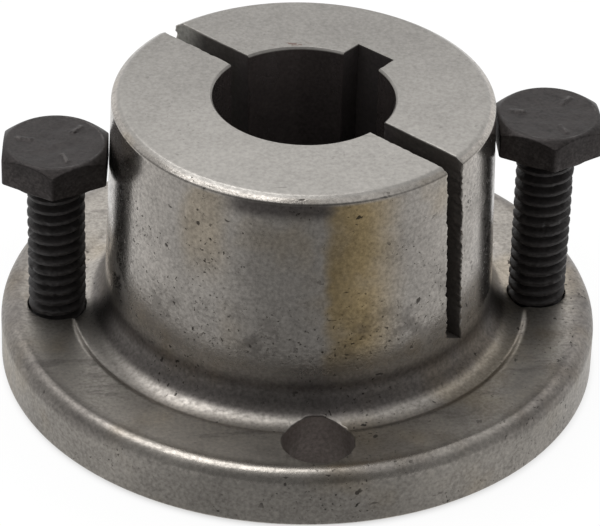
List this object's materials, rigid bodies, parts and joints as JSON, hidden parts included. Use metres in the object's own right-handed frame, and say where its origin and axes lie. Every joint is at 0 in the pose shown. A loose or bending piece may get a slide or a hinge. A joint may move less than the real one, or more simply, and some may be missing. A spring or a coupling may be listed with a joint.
{
  "type": "split taper bushing",
  "caption": "Flanged split taper bushing with a keyed bore, a sawn tapered barrel, plain and tapped flange holes, and hexagon cap screws standing in the tapped holes.",
  "frame": {"origin": "centre of the flange's bottom face, on the bore's axis", "axes": "+Z along the bore, from the flange to the barrel's nose; the two cap screws stand on the X axis and the two plain holes lie on the Y axis"},
  "size_m": [0.0636, 0.0636, 0.0318],
  "materials": {
    "iron": "satin",
    "black_oxide": "dark satin"
  },
  "bodies": {
    "bushing": {"flanged_bushing": "iron"},
    "left_screw": {"cap_screw_left": "black_oxide"},
    "right_screw": {"cap_screw_right": "black_oxide"}
  },
  "joints": [
    {"name": "left_screw_travel", "type": "slide", "parent": "bushing", "child": "left_screw", "axis": [0, 0, 1], "range_m": [-0.0007, 0.0038]},
    {"name": "right_screw_travel", "type": "slide", "parent": "bushing", "child": "right_screw", "axis": [0, 0, 1], "range_m": [-0.0029, 0.0016]}
  ]
}
